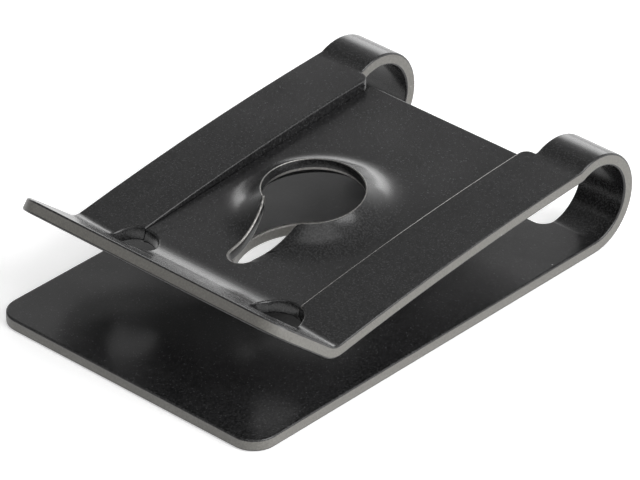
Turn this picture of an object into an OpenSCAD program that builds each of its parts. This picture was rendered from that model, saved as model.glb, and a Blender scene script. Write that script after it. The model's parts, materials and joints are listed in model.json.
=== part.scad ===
// Sun visor nut: a U-shaped spring nut folded from one strip of black spring steel.
// The lower leg has a clearance hole. The upper leg is two rails with a lanced tongue between
// them, and the tongue carries a domed keyhole whose rim climbs like one turn of a screw thread.
// X runs across the strip, +Y towards the rear bend, +Z up. The origin is on the screw's axis,
// at the underside of the lower leg.

/* [Sheet] */
// Thickness of the strip
sheet_t = 0.6; // [0.5:0.05:0.7]
// Width of the strip
body_w = 16; // [15:0.5:20]

/* [Lower leg] */
// Screw axis to the front edge of the lower leg
leg_front = 12.45; // [11:0.05:15]
// Corner radius at the front of the lower leg
leg_corner_r = 1.2; // [0.4:0.1:2.5]
// Diameter of the screw's clearance hole
clear_d = 7.4; // [6:0.1:9]

/* [Rear bend] */
// Screw axis to the outside of the rear bend
rear_reach = 12.65; // [12.2:0.05:15]
// Inside radius of the rear bend
bend_in = 1.95; // [1.8:0.05:2.2]
// Angle by which the bend runs on past its top before the crease
over_bend = 26; // [20:1:32]
// Width of the window between the two straps that go round the bend
window_w = 10.7; // [10.5:0.1:11.5]
// Distance of the window's edge in the lower leg in front of the bend
window_lead = 0.5; // [0.1:0.1:1.5]
// Corner radius of the window in the lower leg
window_r = 0.6; // [0.2:0.1:1]

/* [Rails] */
// Screw axis to the front bend, where the rails end
rail_front = 6.99; // [6.8:0.01:8]
// Height of the rails' upper face at the front bend
rail_front_z = 3.27; // [2.9:0.01:3.6]
// Radius of the rails' upward bow
rail_bow_r = 150; // [110:5:400]
// Screw axis to the rear inner corners of the rails, where the window begins
rail_rear = 8.85; // [8.5:0.05:9]
// Corner radius at those corners
rail_corner_r = 0.5; // [0.1:0.1:0.5]

/* [Lip] */
// Angle of the lip above the level
lip_angle = 39; // [25:0.5:50]
// Length of the lip from the front bend
lip_len = 4.13; // [3:0.01:6]
// Corner radius of the lip
lip_corner_r = 1.3; // [0.3:0.1:2]
// Inside radius of the front bend at the rails
lip_bend_r = 0.8; // [0.4:0.05:1]

/* [Tongue] */
// Width of the tongue
tongue_w = 9.4; // [9.2:0.1:9.5]
// Gap of the slits between the tongue and the rails
slit_gap = 0.06; // [0.04:0.01:0.2]
// Inside radius of the wider bend between the tongue and the lip
tongue_bend_r = 2.8; // [2:0.1:3]
// Slope of the tongue, in degrees
tongue_tilt = 3.8; // [2:0.1:4.2]
// Rear edge of the tongue, behind the screw axis
tongue_rear = 8.95; // [8:0.05:9.5]
// Diameter of the round holes at the front ends of the slits
relief_d = 2.4; // [1.6:0.1:2.8]
// Distance of those holes' centres from the screw axis, across the strip
relief_x = 4.42; // [4.2:0.02:4.8]

/* [Thread form] */
// Centre of the hole on the tongue's underside, behind the screw axis (in front of it where negative)
thread_y = -0.04; // [-0.3:0.01:-0.02]
// Diameter of the hole inside the rim
hole_d = 4.7; // [4.4:0.02:5]
// Diameter of the dome at its foot
dome_d = 9; // [8.6:0.1:9]
// Height of the rim above the tongue, where it is lowest
rim_low = 0.78; // [0.5:0.02:1.1]
// Climb of the rim in one turn
rim_climb = 0.52; // [0.3:0.02:0.9]
// How the dome's flank steepens towards the rim: 1 is a straight cone
dome_flare = 2.4; // [1.2:0.1:3]
// Width of the keyhole's slot where it leaves the hole
slot_mouth = 1.8; // [1.4:0.1:2]
// Radius that blends the slot's sides into the hole
slot_blend_r = 0.6; // [0.3:0.1:0.8]
// Width of the keyhole's slot at its tip
slot_tip = 1.2; // [0.8:0.1:1.3]
// Screw axis to the tip of the slot
slot_reach = 5.35; // [4.9:0.05:5.6]

/* [Hidden] */

half_w = body_w / 2;
slit_x = tongue_w / 2 + slit_gap / 2;
window_x = window_w / 2;
hole_r = hole_d / 2;
dome_r = dome_d / 2;
// The dome begins a little inside the hole's wall, and boring the hole trims it
core_r = 0.94 * hole_r;
// How far a cutter runs past the faces that it cuts
past = 1;

// Rear bend: its centre in the Y-Z plane and its outside radius
bend_out = bend_in + sheet_t;
bend_c = [rear_reach - bend_out, bend_out];

// Rails: an arc of the bow's radius from the nominal crease point to the front bend
crease_p = bend_c + bend_out * [-sin(over_bend), cos(over_bend)];
front_p = [-rail_front, rail_front_z];
chord = crease_p - front_p;
chord_len = norm(chord);
chord_up = [-chord[1], chord[0]] / chord_len;
rail_c = (crease_p + front_p) / 2 - chord_up * sqrt(pow(rail_bow_r, 2) - pow(chord_len / 2, 2));

rail_front_a = heading(front_p - rail_c);
rail_rear_a = heading([crease_p[0] + sheet_t, crease_p[1]] - rail_c);

// Front bend: its centre above the front end of the rails, and the lip's own frame
lip_c = rail_c + (rail_bow_r + lip_bend_r) * [cos(rail_front_a), sin(rail_front_a)];
lip_bend_out = lip_bend_r + sheet_t;

// Tongue: a point on its underside below the front bend's centre, and the hole's centre on that face
tongue_foot = lip_c + lip_bend_out * [sin(tongue_tilt), -cos(tongue_tilt)];
hole_z = tongue_foot[1] + (thread_y - tongue_foot[0]) * tan(tongue_tilt);
tongue_len = (tongue_rear - tongue_foot[0]) / cos(tongue_tilt);

// The tongue's own bend: its centre above the front bend's, and the plane in which it joins the lip
bend_half = (lip_angle + tongue_tilt) / 2;
bend_lean = (lip_angle - tongue_tilt) / 2;
tongue_c = lip_c + (tongue_bend_r - lip_bend_r) / cos(bend_half) * [sin(bend_lean), cos(bend_lean)];
joint_y = tongue_c[0] - tongue_bend_r * sin(lip_angle - 2);

// Dome: how far its foot stands proud of the flat, the steps round it and the rings out to its foot
foot_lift = 0.004;
dome_turns = 60;
dome_rings = 9;
// Half the width of the strip in which its high end drops to its low end, well inside the slot
drop_x = 0.3 * slot_tip;

// Keyhole: the slot's half width at the hole, the centre of its round tip, and the centre of the arc
// that blends its right side into the hole
mouth_x = slot_mouth / 2;
tip_r = slot_tip / 2;
tip_y = tip_r - slot_reach;
blend_x = mouth_x + slot_blend_r;
blend_c = [blend_x, -sqrt(pow(hole_r + slot_blend_r, 2) - pow(blend_x, 2))];

// Direction of a vector, in degrees
function heading(v) = atan2(v[1], v[0]);

// Points along an arc about a centre, between two headings
function arc(c, r, a_from, a_to, steps) =
    [for (i = [0 : steps]) let (a = a_from + (a_to - a_from) * i / steps) c + r * [cos(a), sin(a)]];

// The same points in the other order
function reversed(v) = [for (i = [len(v) - 1 : -1 : 0]) v[i]];

// One face of the upper leg seen from the side, at a depth below the upper face: lip, front bend, rails
function rail_face(depth) = concat(
    [lip_c - (lip_bend_r + depth) * [sin(lip_angle), cos(lip_angle)]
        + lip_len * [-cos(lip_angle), sin(lip_angle)]],
    arc(lip_c, lip_bend_r + depth, 270 - lip_angle, 180 + rail_front_a, 9),
    arc(rail_c, rail_bow_r - depth, rail_front_a, rail_rear_a, 16));

// The same for the tongue, from its joint with the lip
function tongue_face(depth) = let (r = tongue_bend_r + depth) concat(
    arc(tongue_c, r, 360 - acos((joint_y - tongue_c[0]) / r), 270 + tongue_tilt, 9),
    [tongue_foot + (sheet_t - depth) * [-sin(tongue_tilt), cos(tongue_tilt)]
        + tongue_len * [cos(tongue_tilt), sin(tongue_tilt)]]);

// Turns a side view, drawn with Y to the right and Z up, into a solid of a given width
module across(width) {
    translate([-width / 2, 0, 0])
        rotate([90, 0, 90])
            linear_extrude(height = width)
                children();
}

// A bar across the strip on the rear bend's centre line
module bend_bar(r, width) {
    translate([-width / 2, bend_c[0], bend_c[1]])
        rotate([0, 90, 0])
            cylinder(r = r, h = width, $fn = 96);
}

// Everything on or below the outer face of the folded strip
module outer_block() {
    below = 2 * bend_in * [sin(lip_angle), cos(lip_angle)];
    top = rail_face(0);
    across(body_w)
        translate([-leg_front, 0])
            square([leg_front + bend_c[0], sheet_t]);
    bend_bar(bend_out, body_w);
    across(body_w)
        polygon(concat(top, [[bend_c[0], bend_in], [-rail_front, bend_in], top[0] - below]));
}

// Everything inside the folded strip, open to the front
module inner_block() {
    ahead = 2 * lip_len * [-cos(lip_angle), sin(lip_angle)];
    under = rail_face(sheet_t);
    front = -leg_front - lip_len;
    across(2 * body_w)
        translate([front, sheet_t])
            square([bend_c[0] - front, bend_in]);
    bend_bar(bend_in, 2 * body_w);
    across(2 * body_w)
        polygon(concat([under[0] + ahead], under, [[bend_c[0], bend_in / 2], [2 * front, bend_in / 2]]));
}

// Side view of the tongue before the dome is pressed into it
module tongue_side() {
    polygon(concat(tongue_face(0), reversed(tongue_face(sheet_t))));
}

// Plan of a rectangle from a front edge backwards, with rounded front corners
module front_rounded(x, y_front, y_rear, r) {
    difference() {
        translate([-x, y_front])
            square([2 * x, y_rear - y_front]);
        for (side = [-1, 1])
            translate([side * (x - r), y_front + r])
                difference() {
                    translate([side > 0 ? 0 : -r - past, -r - past])
                        square(r + past);
                    circle(r = r, $fn = 48);
                }
    }
}

// Space cleared in the upper leg for the tongue, with the rails' inner corners rounded
module upper_clearing() {
    r = rail_corner_r;
    translate([-slit_x, joint_y])
        square([2 * slit_x, rear_reach - joint_y]);
    translate([-window_x, rail_rear])
        square([2 * window_x, rear_reach]);
    for (side = [-1, 1])
        translate([side * (slit_x + r), rail_rear - r])
            difference() {
                translate([side > 0 ? -r - slit_gap : 0, 0])
                    square(r + slit_gap);
                circle(r = r, $fn = 48);
            }
}

// Cutters for the rounded corners of the lip, square to its face
module lip_corners() {
    translate([0, lip_c[0], lip_c[1]])
        rotate([-lip_angle, 0, 0])
            translate([0, 0, -lip_bend_out - past])
                linear_extrude(height = sheet_t + 2 * past)
                    for (side = [-1, 1])
                        translate([side * (half_w - lip_corner_r), lip_corner_r - lip_len])
                            difference() {
                                translate([side > 0 ? 0 : -lip_corner_r - past, -lip_corner_r - past])
                                    square(lip_corner_r + past);
                                circle(r = lip_corner_r, $fn = 48);
                            }
}

// Round holes through the front bend at the ends of the slits
module relief_holes() {
    lean = (lip_angle - (rail_front_a - 90)) / 2;
    for (side = [-1, 1])
        translate([side * relief_x, lip_c[0], lip_c[1]])
            rotate([-lean, 0, 0])
                cylinder(d = relief_d, h = 2 * bend_in, center = true, $fn = 48);
}

// Height of the dome above the tongue, as a share of the rim's height
function swell(r) = pow(max(0, dome_r - r) / (dome_r - hole_r), dome_flare);

// Rim height at a turn measured from the slot's right side, back round to its left side
function rim_height(turn) = rim_low + rim_climb * turn;

// Heading of a step round the dome at a radius, from the drop's right side back round to its left side
function step_heading(i, r) = let (drop_a = asin(drop_x / r))
    drop_a - 90 + (360 - 2 * drop_a) * i / dome_turns;

// Domed ring with a climbing rim, in the tongue's own frame, wide enough inside to be bored out
module dome() {
    radius = function (j) core_r + (dome_r - core_r) * j / dome_rings;
    lift = function (i, j) foot_lift + rim_height(i / dome_turns) * swell(radius(j));
    spot = function (i, j, z) let (r = radius(j), a = step_heading(i, r))
        [r * cos(a), r * sin(a), lift(i, j) + z];
    under = [for (i = [0 : dome_turns], j = [0 : dome_rings]) spot(i, j, 0)];
    over = [for (i = [0 : dome_turns], j = [0 : dome_rings]) spot(i, j, sheet_t)];
    row = dome_rings + 1;
    count = (dome_turns + 1) * row;
    cell = function (i, j) (i % (dome_turns + 1)) * row + j;
    sheet_faces = [for (i = [0 : dome_turns], j = [0 : dome_rings - 1])
        let (a = cell(i, j), b = cell(i, j + 1), c = cell(i + 1, j + 1), d = cell(i + 1, j))
        each [[a, b, c], [a, c, d], [count + a, count + c, count + b], [count + a, count + d, count + c]]];
    wall_faces = [for (i = [0 : dome_turns])
        let (a = cell(i, 0), d = cell(i + 1, 0), b = cell(i, dome_rings), c = cell(i + 1, dome_rings))
        each [[a, d, count + d], [a, count + d, count + a], [b, count + b, count + c], [b, count + c, c]]];
    polyhedron(points = concat(under, over), faces = concat(sheet_faces, wall_faces), convexity = 6);
}

// Outline of the dome's foot, the same corners as the dome itself
module dome_foot() {
    polygon([for (i = [0 : dome_turns]) let (a = step_heading(i, dome_r)) dome_r * [cos(a), sin(a)]]);
}

// Right side of the slot, from its tip along the blend to a point inside the hole
function slot_side() = concat(
    [[tip_r, tip_y]],
    arc(blend_c, slot_blend_r, 180, 180 - 0.85 * (180 - heading(-blend_c)), 5),
    [[mouth_x, 0]]);

// Keyhole: the round hole and the slot that runs to the front
module keyhole() {
    depth = rim_low + rim_climb + sheet_t + 2 * past;
    right = slot_side();
    translate([0, 0, -past])
        cylinder(r = hole_r, h = depth, $fn = 96);
    translate([0, tip_y, -past])
        cylinder(r = tip_r, h = depth, $fn = 48);
    translate([0, 0, -past])
        linear_extrude(height = depth)
            polygon(concat(right, [for (p = reversed(right)) [-p[0], p[1]]]));
}

// Moves things drawn flat about the hole's centre onto the tongue's underside
module on_tongue() {
    translate([0, thread_y, hole_z])
        rotate([tongue_tilt, 0, 0])
            children();
}

// The strip with its corners rounded and its openings cleared, without the tongue
module cleared_strip() {
    difference() {
        outer_block();
        inner_block();
        translate([0, 0, bend_out])
            linear_extrude(height = body_w)
                upper_clearing();
        translate([0, 0, -past])
            linear_extrude(height = bend_out + 1.5 * past)
                front_rounded(window_x, bend_c[0] - window_lead, rear_reach + past, window_r);
        translate([0, 0, -past])
            cylinder(d = clear_d, h = sheet_t + 2 * past, $fn = 96);
        translate([0, 0, -past])
            linear_extrude(height = sheet_t + 2 * past)
                difference() {
                    translate([-half_w - past, -leg_front - past])
                        square([body_w + 2 * past, leg_corner_r + past]);
                    front_rounded(half_w, -leg_front, 0, leg_corner_r);
                }
        lip_corners();
        relief_holes();
    }
}

// The tongue with its dome and keyhole
module tongue() {
    difference() {
        union() {
            difference() {
                across(tongue_w)
                    tongue_side();
                on_tongue()
                    translate([0, 0, -past])
                        linear_extrude(height = sheet_t + 2 * past)
                            dome_foot();
            }
            on_tongue()
                dome();
        }
        on_tongue()
            keyhole();
        relief_holes();
    }
}

module spring_nut() {
    color([0.13, 0.13, 0.14]) {
        cleared_strip();
        tongue();
    }
}

spring_nut();
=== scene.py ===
"""Sun visor nut: the finish of the folded spring nut and the studio round it, laid out as an add-on."""

import json
import math

import bmesh
import bpy
from bpy.props import FloatProperty, FloatVectorProperty, IntProperty, PointerProperty
from mathutils import Matrix, Vector
from mathutils.bvhtree import BVHTree


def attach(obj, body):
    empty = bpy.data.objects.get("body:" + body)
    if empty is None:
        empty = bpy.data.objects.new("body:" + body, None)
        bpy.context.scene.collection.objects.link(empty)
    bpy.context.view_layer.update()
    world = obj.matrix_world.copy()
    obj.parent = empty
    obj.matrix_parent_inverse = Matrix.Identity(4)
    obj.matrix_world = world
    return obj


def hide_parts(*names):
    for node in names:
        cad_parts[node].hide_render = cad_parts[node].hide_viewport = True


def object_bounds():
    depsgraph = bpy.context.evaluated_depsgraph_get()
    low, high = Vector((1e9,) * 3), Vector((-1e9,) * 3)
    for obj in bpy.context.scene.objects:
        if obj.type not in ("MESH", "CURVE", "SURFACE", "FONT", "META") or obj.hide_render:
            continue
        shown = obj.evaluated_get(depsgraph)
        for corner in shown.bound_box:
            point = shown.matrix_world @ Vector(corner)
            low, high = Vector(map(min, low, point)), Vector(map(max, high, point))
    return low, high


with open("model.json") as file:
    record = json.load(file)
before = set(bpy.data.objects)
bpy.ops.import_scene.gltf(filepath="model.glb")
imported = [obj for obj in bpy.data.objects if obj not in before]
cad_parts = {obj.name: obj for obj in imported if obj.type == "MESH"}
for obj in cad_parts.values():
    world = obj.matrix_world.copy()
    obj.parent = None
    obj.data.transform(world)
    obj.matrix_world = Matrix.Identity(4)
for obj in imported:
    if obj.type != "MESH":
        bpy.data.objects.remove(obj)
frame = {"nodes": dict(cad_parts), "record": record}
CAD_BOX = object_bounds()
NODE = "spring_nut"
THREAD = next(mount for mount in frame["record"]["mounts"] if mount["name"] == "screw_thread")
THREAD_PLACE = Vector(THREAD["pos_m"])
THREAD_UP = -Vector(THREAD["axis"]).normalized()

# Places of the strip's materials in its list; the last one carries the painted highlight on rims
COAT, CUT, RIM_HIGHLIGHT = range(3)

# Shares of the sheet's thickness: a hair's breadth, and the most that counts as once through the sheet
HAIR = 0.05
THROUGH = 1.2

# Faces that meet at less than this angle are one flat face
FLAT_ANGLE = math.radians(0.5)

# Textures: cells and smudges per metre, and the stretch of each noise that is used
SPECK_CELLS = 900
SPECK_SIZE = 0.035
SMUDGE_SCALE = 260
TONE_FROM, TONE_TO = 0.38, 0.72
SMUDGE_FROM, SMUDGE_TO = 0.3, 0.7
COAT_IOR = 1.55

# Floor: half its side, and how far it lies below the nut, in metres
FLOOR_HALF = 0.6
FLOOR_GAP = 0.00002

# Studio: heights of a direction, as sines, between which it darkens, and the way to its brighter side
FADE_FROM, FADE_TO = 0.1, 0.6
BRIGHT_SIDE = Vector((0.7, 0.7, 0))

# Soft boxes: azimuth and elevation in degrees, then distance, width and height in metres
SOFT_BOXES = {
    "back": (226, 13, 0.6, 0.6, 0.2),
    "left": (-50, 35, 0.4, 0.2, 0.2),
    "right": (100, 35, 0.45, 0.35, 0.35),
    "top": (40, 75, 0.5, 0.3, 0.3),
}

bl_info = {
    "name": "Sun Visor Nut",
    "version": (1, 0, 0),
    "blender": (4, 5, 0),
    "location": "3D View > Sidebar > Spring Nut",
    "description": "Finishes the folded spring nut and sets the studio round it",
    "category": "Object",
}


class SpringNutStrip(bpy.types.PropertyGroup):
    """Sizes of the strip's edges and of the zones that differ in finish"""

    sheet: FloatProperty(
        name="Sheet",
        description="Thickness of the strip, which tells its faces from its cut edges",
        default=0.0006,
        unit="LENGTH",
        precision=5,
    )
    edge_round: FloatProperty(
        name="Edge round",
        description="How far the rounding of a cut edge reaches into each face",
        default=0.00009,
        unit="LENGTH",
        precision=6,
    )
    slit_round: FloatProperty(
        name="Slit round",
        description="The same along the slits, where the shear leaves the edges sharper",
        default=0.00002,
        unit="LENGTH",
        precision=6,
    )
    slit: FloatProperty(
        name="Slit",
        description="Distance of the slits from the strip's middle line",
        default=0.00472,
        unit="LENGTH",
        precision=6,
    )
    # Cut walls inside these bounds get the dark coat colour as painted shade
    inner_reach: FloatProperty(
        name="Inner cuts, side",
        description="Cut walls of the upper leg nearer to the middle line than this have the full coat",
        default=0.0057,
        unit="LENGTH",
        precision=5,
    )
    inner_rear: FloatProperty(
        name="Inner cuts, rear",
        description="How far back those cut walls go",
        default=0.0088,
        unit="LENGTH",
        precision=5,
    )
    # Rims within this distance of the thread's axis get pale metal as a painted highlight
    highlight_reach: FloatProperty(
        name="Highlight reach",
        description="Rims nearer to the thread's axis than this are rubbed bright",
        default=0.0058,
        unit="LENGTH",
        precision=5,
    )
    edge_steps: IntProperty(
        name="Edge steps",
        description="Faces across the rounding of a cut edge",
        default=3,
        min=1,
        max=6,
    )
    edge_angle: FloatProperty(
        name="Edge angle",
        description="Faces that meet at more than this angle have a rounded edge",
        default=math.radians(22),
        subtype="ANGLE",
    )
    weld: FloatProperty(
        name="Weld",
        description="Corners closer than this are one corner",
        default=0.000008,
        unit="LENGTH",
        precision=6,
    )


class SpringNutFinish(bpy.types.PropertyGroup):
    """Colours and textures of the black coat and its edges"""

    coat: FloatVectorProperty(
        name="Coat",
        description="Colour of the black coat",
        default=(0.003, 0.003, 0.0032),
        size=3,
        min=0,
        max=1,
        subtype="COLOR",
    )
    coat_pale: FloatVectorProperty(
        name="Coat grain",
        description="Colour of the paler grains in the black coat",
        default=(0.036, 0.036, 0.037),
        size=3,
        min=0,
        max=1,
        subtype="COLOR",
    )
    coat_roughness: FloatProperty(
        name="Coat roughness",
        description="Roughness of the black coat",
        default=0.22,
        min=0,
        max=1,
        subtype="FACTOR",
    )
    cut: FloatVectorProperty(
        name="Cut edge",
        description="Colour of the sheared edges, where the coat is thin",
        default=(0.19, 0.184, 0.168),
        size=3,
        min=0,
        max=1,
        subtype="COLOR",
    )
    cut_roughness: FloatProperty(
        name="Cut edge roughness",
        description="Roughness of the sheared edges",
        default=0.42,
        min=0,
        max=1,
        subtype="FACTOR",
    )
    # Pale metal painted on some rims as a highlight
    highlight_metal: FloatVectorProperty(
        name="Highlit rim",
        description="Colour of the steel that shows on the rubbed rounding of the edges",
        default=(0.4, 0.39, 0.375),
        size=3,
        min=0,
        max=1,
        subtype="COLOR",
    )
    speck: FloatVectorProperty(
        name="Speck",
        description="Colour of dust and bare specks",
        default=(0.3, 0.3, 0.29),
        size=3,
        min=0,
        max=1,
        subtype="COLOR",
    )
    grain: FloatProperty(
        name="Grain",
        description="Size of the coat's fine grain",
        default=0.00009,
        unit="LENGTH",
        precision=6,
    )
    grain_depth: FloatProperty(
        name="Grain depth",
        description="Height of the coat's fine grain",
        default=0.0000025,
        unit="LENGTH",
        precision=7,
    )


class SpringNutStage(bpy.types.PropertyGroup):
    """Camera, lamps and floor"""

    azimuth: FloatProperty(
        name="Azimuth",
        description="Turn of the camera round the nut, from its open front",
        default=math.radians(42.804),
        subtype="ANGLE",
    )
    elevation: FloatProperty(
        name="Elevation",
        description="Height of the camera above the level",
        default=math.radians(32.011),
        subtype="ANGLE",
    )
    distance: FloatProperty(
        name="Distance",
        description="Camera to the point that it looks at",
        default=0.23798,
        unit="LENGTH",
    )
    aim: FloatVectorProperty(
        name="Aim",
        description="Point in the middle of the picture",
        default=(0.004003, -0.00404, 0.005519),
        size=3,
        subtype="XYZ",
        precision=6,
    )
    lens: FloatProperty(
        name="Lens",
        description="Focal length in millimetres",
        default=305.45,
    )
    floor: FloatVectorProperty(
        name="Floor",
        description="Colour of the floor",
        default=(0.9, 0.9, 0.9),
        size=3,
        min=0,
        max=1,
        subtype="COLOR",
    )
    floor_glow: FloatProperty(
        name="Floor glow",
        description="White added to the floor where the camera or a reflection sees it",
        default=0.45,
        min=0,
        max=1,
    )
    sky: FloatProperty(
        name="Overhead",
        description="Brightness of the studio straight above, as a share of its horizon",
        default=0.33,
        min=0,
        max=1,
        subtype="FACTOR",
    )
    side_fall: FloatProperty(
        name="Side fall",
        description="How much brighter the studio is at the back right than at the front left",
        default=0.75,
        min=0,
        max=1,
        subtype="FACTOR",
    )
    back_level: FloatProperty(
        name="Back box",
        description="Brightness of the low soft box behind the nut",
        default=2,
        min=0,
    )
    left_level: FloatProperty(
        name="Left box",
        description="Brightness of the soft box on the left",
        default=0.3,
        min=0,
    )
    right_level: FloatProperty(
        name="Right box",
        description="Brightness of the soft box on the right",
        default=4,
        min=0,
    )
    top_level: FloatProperty(
        name="Top box",
        description="Brightness of the soft box overhead",
        default=1,
        min=0,
    )


def add_node(tree, kind, **inputs):
    """A node of that kind with values set on its named inputs"""
    made = tree.nodes.new(kind)
    for name, value in inputs.items():
        made.inputs[name.replace("_", " ")].default_value = value
    return made


def add_math(tree, operation, *terms):
    """The result of a maths node; each term is a number or the output that feeds it"""
    made = tree.nodes.new("ShaderNodeMath")
    made.operation = operation
    for socket, term in zip(made.inputs, terms):
        if isinstance(term, (int, float)):
            socket.default_value = term
        else:
            tree.links.new(term, socket)
    return made.outputs[0]


def colour(value, share=1):
    """A share of three numbers as a colour with full alpha"""
    return (*(share * part for part in value), 1.0)


def direction(azimuth, elevation):
    """Unit vector towards an azimuth from the open front and an elevation, both in radians"""
    level = math.cos(elevation)
    return Vector((math.sin(azimuth) * level, -math.cos(azimuth) * level, math.sin(elevation)))


def put(name, data, place, away):
    """A new object of that data at a place, looking back along the direction away"""
    made = bpy.data.objects.new(name, data)
    bpy.context.scene.collection.objects.link(made)
    made.location = place
    made.rotation_euler = (-away).to_track_quat("-Z", "Y").to_euler()
    return made


def coat_grain():
    """Node group of the coat's texture: grain height and tone, dust specks and slow smudges"""
    group = bpy.data.node_groups.new("coat_grain", "ShaderNodeTree")
    for name in ("Scale", "Specks"):
        group.interface.new_socket(name, in_out="INPUT", socket_type="NodeSocketFloat")
    for name in ("Height", "Tone", "Speck mask", "Smudge"):
        group.interface.new_socket(name, in_out="OUTPUT", socket_type="NodeSocketFloat")
    source = group.nodes.new("NodeGroupInput")
    result = group.nodes.new("NodeGroupOutput")
    place = group.nodes.new("ShaderNodeTexCoord")
    fine = add_node(group, "ShaderNodeTexNoise", Detail=3, Roughness=0.6)
    tone = add_node(group, "ShaderNodeMapRange", From_Min=TONE_FROM, From_Max=TONE_TO)
    dots = add_node(group, "ShaderNodeTexVoronoi", Scale=SPECK_CELLS)
    tint = group.nodes.new("ShaderNodeSeparateColor")
    slow = add_node(group, "ShaderNodeTexNoise", Scale=SMUDGE_SCALE, Detail=3, Roughness=0.55)
    links = group.links
    for texture in (fine, dots, slow):
        links.new(place.outputs["Object"], texture.inputs["Vector"])
    links.new(source.outputs["Scale"], fine.inputs["Scale"])
    links.new(fine.outputs["Fac"], tone.inputs["Value"])
    links.new(dots.outputs["Color"], tint.inputs["Color"])
    small = add_math(group, "LESS_THAN", dots.outputs["Distance"], SPECK_SIZE)
    few = add_math(group, "LESS_THAN", tint.outputs["Red"], source.outputs["Specks"])
    links.new(fine.outputs["Fac"], result.inputs["Height"])
    links.new(tone.outputs["Result"], result.inputs["Tone"])
    links.new(add_math(group, "MULTIPLY", small, few), result.inputs["Speck mask"])
    links.new(slow.outputs["Fac"], result.inputs["Smudge"])
    return group


def add_mix(tree, factor, first, second):
    """The mix of two colours by a factor; the first is a colour or the output that feeds it"""
    made = tree.nodes.new("ShaderNodeMix")
    made.data_type = "RGBA"
    if isinstance(first, tuple):
        made.inputs["A"].default_value = first
    else:
        tree.links.new(first, made.inputs["A"])
    made.inputs["B"].default_value = second
    tree.links.new(factor, made.inputs["Factor"])
    return made.outputs["Result"]


def coated(group, finish, name, base, pale, metal, roughness, specks, sway):
    """A finish: paler grains and specks on a base colour, a roughness that sways, and the grain as bump"""
    made = bpy.data.materials.new(name)
    made.use_nodes = True
    tree = made.node_tree
    shader = tree.nodes["Principled BSDF"]
    shader.inputs["IOR"].default_value = COAT_IOR
    shader.inputs["Metallic"].default_value = metal
    texture = tree.nodes.new("ShaderNodeGroup")
    texture.node_tree = group
    texture.inputs["Scale"].default_value = 1 / finish.grain
    texture.inputs["Specks"].default_value = specks
    rough = add_node(tree, "ShaderNodeMapRange", From_Min=SMUDGE_FROM, From_Max=SMUDGE_TO)
    rough.inputs["To Min"].default_value = roughness - sway
    rough.inputs["To Max"].default_value = roughness + sway
    bump = add_node(tree, "ShaderNodeBump", Distance=finish.grain_depth, Strength=1)
    grained = add_mix(tree, texture.outputs["Tone"], base, pale)
    speckled = add_mix(tree, texture.outputs["Speck mask"], grained, colour(finish.speck))
    links = tree.links
    links.new(speckled, shader.inputs["Base Color"])
    links.new(texture.outputs["Smudge"], rough.inputs["Value"])
    links.new(rough.outputs["Result"], shader.inputs["Roughness"])
    links.new(texture.outputs["Height"], bump.inputs["Height"])
    links.new(bump.outputs["Normal"], shader.inputs["Normal"])
    return made


def strip_materials(finish):
    """The coat on the faces, the thin coat on the cut edges and pale metal as a painted highlight on some
    rims
    """
    group = coat_grain()
    coat = coated(
        group,
        finish,
        name="black_coat",
        base=colour(finish.coat),
        pale=colour(finish.coat_pale),
        metal=0,
        roughness=finish.coat_roughness,
        specks=0.12,
        sway=0.04,
    )
    cut = coated(
        group,
        finish,
        name="cut_edge",
        base=colour(finish.cut, share=0.7),
        pale=colour(finish.cut),
        metal=0,
        roughness=finish.cut_roughness,
        specks=0.3,
        sway=0.06,
    )
    # Painted highlight: pale metal on the keyhole rims and on the right rail's inner edge
    rim = coated(
        group,
        finish,
        name="rim_highlight",
        base=colour(finish.highlight_metal, share=0.5),
        pale=colour(finish.highlight_metal),
        metal=1,
        roughness=finish.cut_roughness,
        specks=0.2,
        sway=0.05,
    )
    return coat, cut, rim


def along_slit(edge, strip):
    """True for the tongue's own side edges and for the lower edges of the rails beside them"""
    middle = (edge.verts[0].co + edge.verts[1].co) / 2
    run = edge.verts[0].co - edge.verts[1].co
    hair = HAIR * strip.sheet
    beside = abs(abs(middle.x) - strip.slit) < hair and abs(run.x) < hair
    rail_top = abs(middle.x) > strip.slit and any(face.normal.z > 0.7 for face in edge.link_faces)
    return beside and not rail_top


def shade_inner_cuts(shell, strip):
    """Paints shade on the walls of the slits, the relief holes and the keyhole: they take the dark coat of
    the faces instead of the paler cut-edge colour, where they lie in shade
    """
    walls = [
        (face, face.calc_center_median())
        for face in shell.faces
        if face.material_index == CUT and face.calc_center_median().z > 3 * strip.sheet
    ]
    lip_end = min(middle.y for face, middle in walls)
    for face, middle in walls:
        inside = lip_end + 2 * strip.sheet < middle.y < strip.inner_rear
        if inside and abs(middle.x) < strip.inner_reach:
            face.material_index = COAT


def from_thread(point):
    """Distance of a point from the thread's axis"""
    offset = point - THREAD_PLACE
    return (offset - offset.dot(THREAD_UP) * THREAD_UP).length


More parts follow.
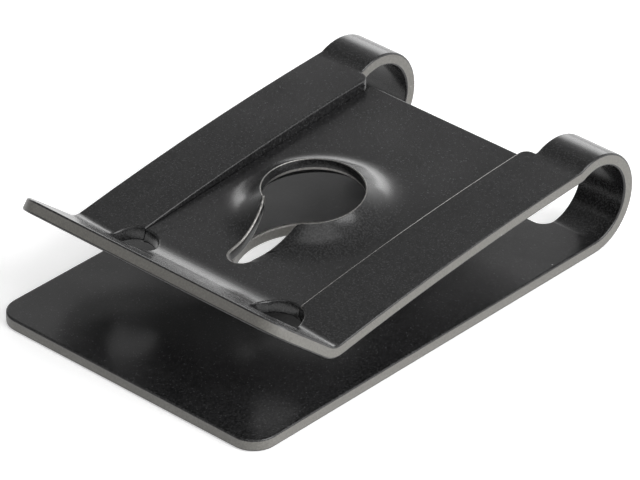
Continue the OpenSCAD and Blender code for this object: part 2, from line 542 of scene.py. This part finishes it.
def strip_copy(strip):
    """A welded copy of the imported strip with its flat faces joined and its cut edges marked"""
    shell = bmesh.new()
    shell.from_mesh(frame["nodes"][NODE].data)
    bmesh.ops.remove_doubles(shell, verts=shell.verts, dist=strip.weld)
    bmesh.ops.dissolve_degenerate(shell, edges=shell.edges, dist=strip.weld)
    shell.normal_update()
    tree = BVHTree.FromBMesh(shell)
    for face in shell.faces:
        face.smooth = True
        inward = -face.normal
        depth = tree.ray_cast(face.calc_center_median() + HAIR * strip.sheet * inward, inward)[3]
        thin = depth is not None and depth < THROUGH * strip.sheet
        face.material_index = COAT if thin else CUT
    # Painted shade: the inner cut walls take the dark coat colour
    shade_inner_cuts(shell, strip)
    bmesh.ops.dissolve_limit(
        shell, angle_limit=FLAT_ANGLE, verts=shell.verts, edges=shell.edges, delimit={"MATERIAL"}
    )
    shell.normal_update()
    weights = shell.edges.layers.float.new("bevel_weight_edge")
    for edge in shell.edges:
        if edge.calc_face_angle(0) > strip.edge_angle:
            edge[weights] = strip.slit_round / strip.edge_round if along_slit(edge, strip) else 1
    mesh = bpy.data.meshes.new("folded_strip")
    shell.to_mesh(mesh)
    shell.free()
    return mesh


def highlit(point, strip):
    """True on the rims of the hole and its slot, and on the inner edge of the right rail, where the
    highlight is painted
    """
    rail_edge = 0 < point.x - strip.slit < 2 * strip.edge_round and point.y < strip.inner_rear
    keyhole = from_thread(point) < strip.highlight_reach and abs(point.x) < 0.95 * strip.slit
    return rail_edge or keyhole


class SPRINGNUT_OT_strip(bpy.types.Operator):
    """Make the folded strip with rounded edges and a black coat"""

    bl_idname = "springnut.strip"
    bl_label = "Folded strip"

    def execute(self, context):
        strip = context.scene.springnut_strip
        piece = bpy.data.objects.new("folded_strip", strip_copy(strip))
        context.scene.collection.objects.link(piece)
        for finish in strip_materials(context.scene.springnut_finish):
            piece.data.materials.append(finish)
        edge = piece.modifiers.new("edge", "BEVEL")
        edge.limit_method = "WEIGHT"
        edge.width = strip.edge_round
        edge.segments = strip.edge_steps
        edge.use_clamp_overlap = False
        edge.harden_normals = False
        edge.material = RIM_HIGHLIGHT
        shade = piece.modifiers.new("shade", "WEIGHTED_NORMAL")
        shade.weight = 90
        graph = context.evaluated_depsgraph_get()
        finished = bpy.data.meshes.new_from_object(
            piece.evaluated_get(graph), preserve_all_data_layers=True, depsgraph=graph
        )
        piece.modifiers.clear()
        piece.data = finished
        piece.data.name = "folded_strip"
        # Only the keyhole rims and the right rail's inner edge keep the painted highlight; the other
        # rounded edges take the coat
        for face in piece.data.polygons:
            if face.material_index == RIM_HIGHLIGHT and not highlit(face.center, strip):
                face.material_index = COAT
        if len(piece.data.polygons) == 0:
            raise RuntimeError("the folded strip has no faces")
        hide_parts(NODE)
        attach(piece, "root")
        return {"FINISHED"}


def seen_share(tree):
    """Nodes that give 1 where the camera, a reflection or a clear body sees the surface, and 0 elsewhere"""
    path = tree.nodes.new("ShaderNodeLightPath")
    share = path.outputs["Is Camera Ray"]
    for name in ("Is Glossy Ray", "Is Transmission Ray"):
        share = add_math(tree, "MAXIMUM", share, path.outputs[name])
    return share


def set_floor(stage):
    """A plain pale floor that keeps the nut's shadow"""
    shell = bmesh.new()
    bmesh.ops.create_grid(shell, x_segments=1, y_segments=1, size=FLOOR_HALF)
    mesh = bpy.data.meshes.new("floor")
    shell.to_mesh(mesh)
    shell.free()
    mesh.transform(Matrix.Translation((0, 0, CAD_BOX[0].z - FLOOR_GAP)))
    floor = bpy.data.objects.new("floor", mesh)
    bpy.context.scene.collection.objects.link(floor)
    made = bpy.data.materials.new("pale_floor")
    made.use_nodes = True
    tree = made.node_tree
    shader = tree.nodes["Principled BSDF"]
    shader.inputs["Base Color"].default_value = colour(stage.floor)
    shader.inputs["Roughness"].default_value = 0.9
    shader.inputs["Specular IOR Level"].default_value = 0.1
    shader.inputs["Emission Color"].default_value = (1, 1, 1, 1)
    glow = add_math(tree, "MULTIPLY", seen_share(tree), stage.floor_glow)
    tree.links.new(glow, shader.inputs["Emission Strength"])
    mesh.materials.append(made)


def set_world(stage):
    """White studio walls that darken towards the ceiling and towards the front left"""
    world = bpy.data.worlds.new("studio")
    bpy.context.scene.world = world
    world.use_nodes = True
    tree = world.node_tree
    back = tree.nodes["Background"]
    back.inputs["Color"].default_value = (1, 1, 1, 1)
    place = tree.nodes.new("ShaderNodeTexCoord")
    height = tree.nodes.new("ShaderNodeSeparateXYZ")
    fade = add_node(tree, "ShaderNodeMapRange", From_Min=FADE_FROM, From_Max=FADE_TO)
    fade.inputs["To Min"].default_value = 1
    fade.inputs["To Max"].default_value = stage.sky
    lean = tree.nodes.new("ShaderNodeVectorMath")
    lean.operation = "DOT_PRODUCT"
    lean.inputs[1].default_value = stage.side_fall * BRIGHT_SIDE
    tree.links.new(place.outputs["Generated"], height.inputs["Vector"])
    tree.links.new(place.outputs["Generated"], lean.inputs[0])
    tree.links.new(height.outputs["Z"], fade.inputs["Value"])
    faded = fade.outputs["Result"]
    level = add_math(tree, "MULTIPLY_ADD", lean.outputs["Value"], faded, faded)
    tree.links.new(level, back.inputs["Strength"])


def set_lamp(name, level):
    """A soft box of an even brightness that faces the nut"""
    azimuth, elevation, distance, width, height = SOFT_BOXES[name]
    data = bpy.data.lights.new(f"soft_box_{name}", "AREA")
    data.shape = "RECTANGLE"
    data.size = width
    data.size_y = height
    data.energy = level * math.pi * width * height
    away = direction(math.radians(azimuth), math.radians(elevation))
    put(data.name, data, away * distance, away)


def set_camera(stage):
    """Camera at the viewing angle, square to its aim"""
    data = bpy.data.cameras.new("camera")
    data.sensor_width = 36
    data.lens = stage.lens
    data.clip_start = 0.01
    data.clip_end = 10
    away = direction(stage.azimuth, stage.elevation)
    place = Vector(stage.aim) + away * stage.distance
    bpy.context.scene.camera = put("camera", data, place, away)


class SPRINGNUT_OT_stage(bpy.types.Operator):
    """Set the floor, the studio light and the camera"""

    bl_idname = "springnut.stage"
    bl_label = "Stage"

    def execute(self, context):
        stage = context.scene.springnut_stage
        context.scene.view_settings.view_transform = "Standard"
        set_floor(stage)
        set_world(stage)
        set_lamp("back", stage.back_level)
        set_lamp("left", stage.left_level)
        set_lamp("right", stage.right_level)
        set_lamp("top", stage.top_level)
        set_camera(stage)
        return {"FINISHED"}


class SPRINGNUT_PT_sidebar(bpy.types.Panel):
    """Lists the nut's settings and the steps that make it"""

    bl_idname = "SPRINGNUT_PT_sidebar"
    bl_label = "Spring Nut"
    bl_space_type = "VIEW_3D"
    bl_region_type = "UI"
    bl_category = "Spring Nut"

    def draw(self, context):
        for title, settings, operator in (
            ("Strip", context.scene.springnut_strip, "springnut.strip"),
            ("Finish", context.scene.springnut_finish, None),
            ("Stage", context.scene.springnut_stage, "springnut.stage"),
        ):
            box = self.layout.box()
            box.label(text=title)
            for name in settings.__annotations__:
                box.prop(settings, name)
            if operator:
                box.operator(operator)


CLASSES = (
    SpringNutStrip,
    SpringNutFinish,
    SpringNutStage,
    SPRINGNUT_OT_strip,
    SPRINGNUT_OT_stage,
    SPRINGNUT_PT_sidebar,
)


def register():
    """Adds the classes and the settings to Blender"""
    for cls in CLASSES:
        bpy.utils.register_class(cls)
    bpy.types.Scene.springnut_strip = PointerProperty(type=SpringNutStrip)
    bpy.types.Scene.springnut_finish = PointerProperty(type=SpringNutFinish)
    bpy.types.Scene.springnut_stage = PointerProperty(type=SpringNutStage)


def unregister():
    """Takes the settings and the classes out again"""
    del bpy.types.Scene.springnut_stage
    del bpy.types.Scene.springnut_finish
    del bpy.types.Scene.springnut_strip
    for cls in reversed(CLASSES):
        bpy.utils.unregister_class(cls)


def main():
    """Makes the nut and its studio"""
    register()
    bpy.ops.springnut.strip()
    bpy.ops.springnut.stage()


if __name__ == "__main__":
    main()
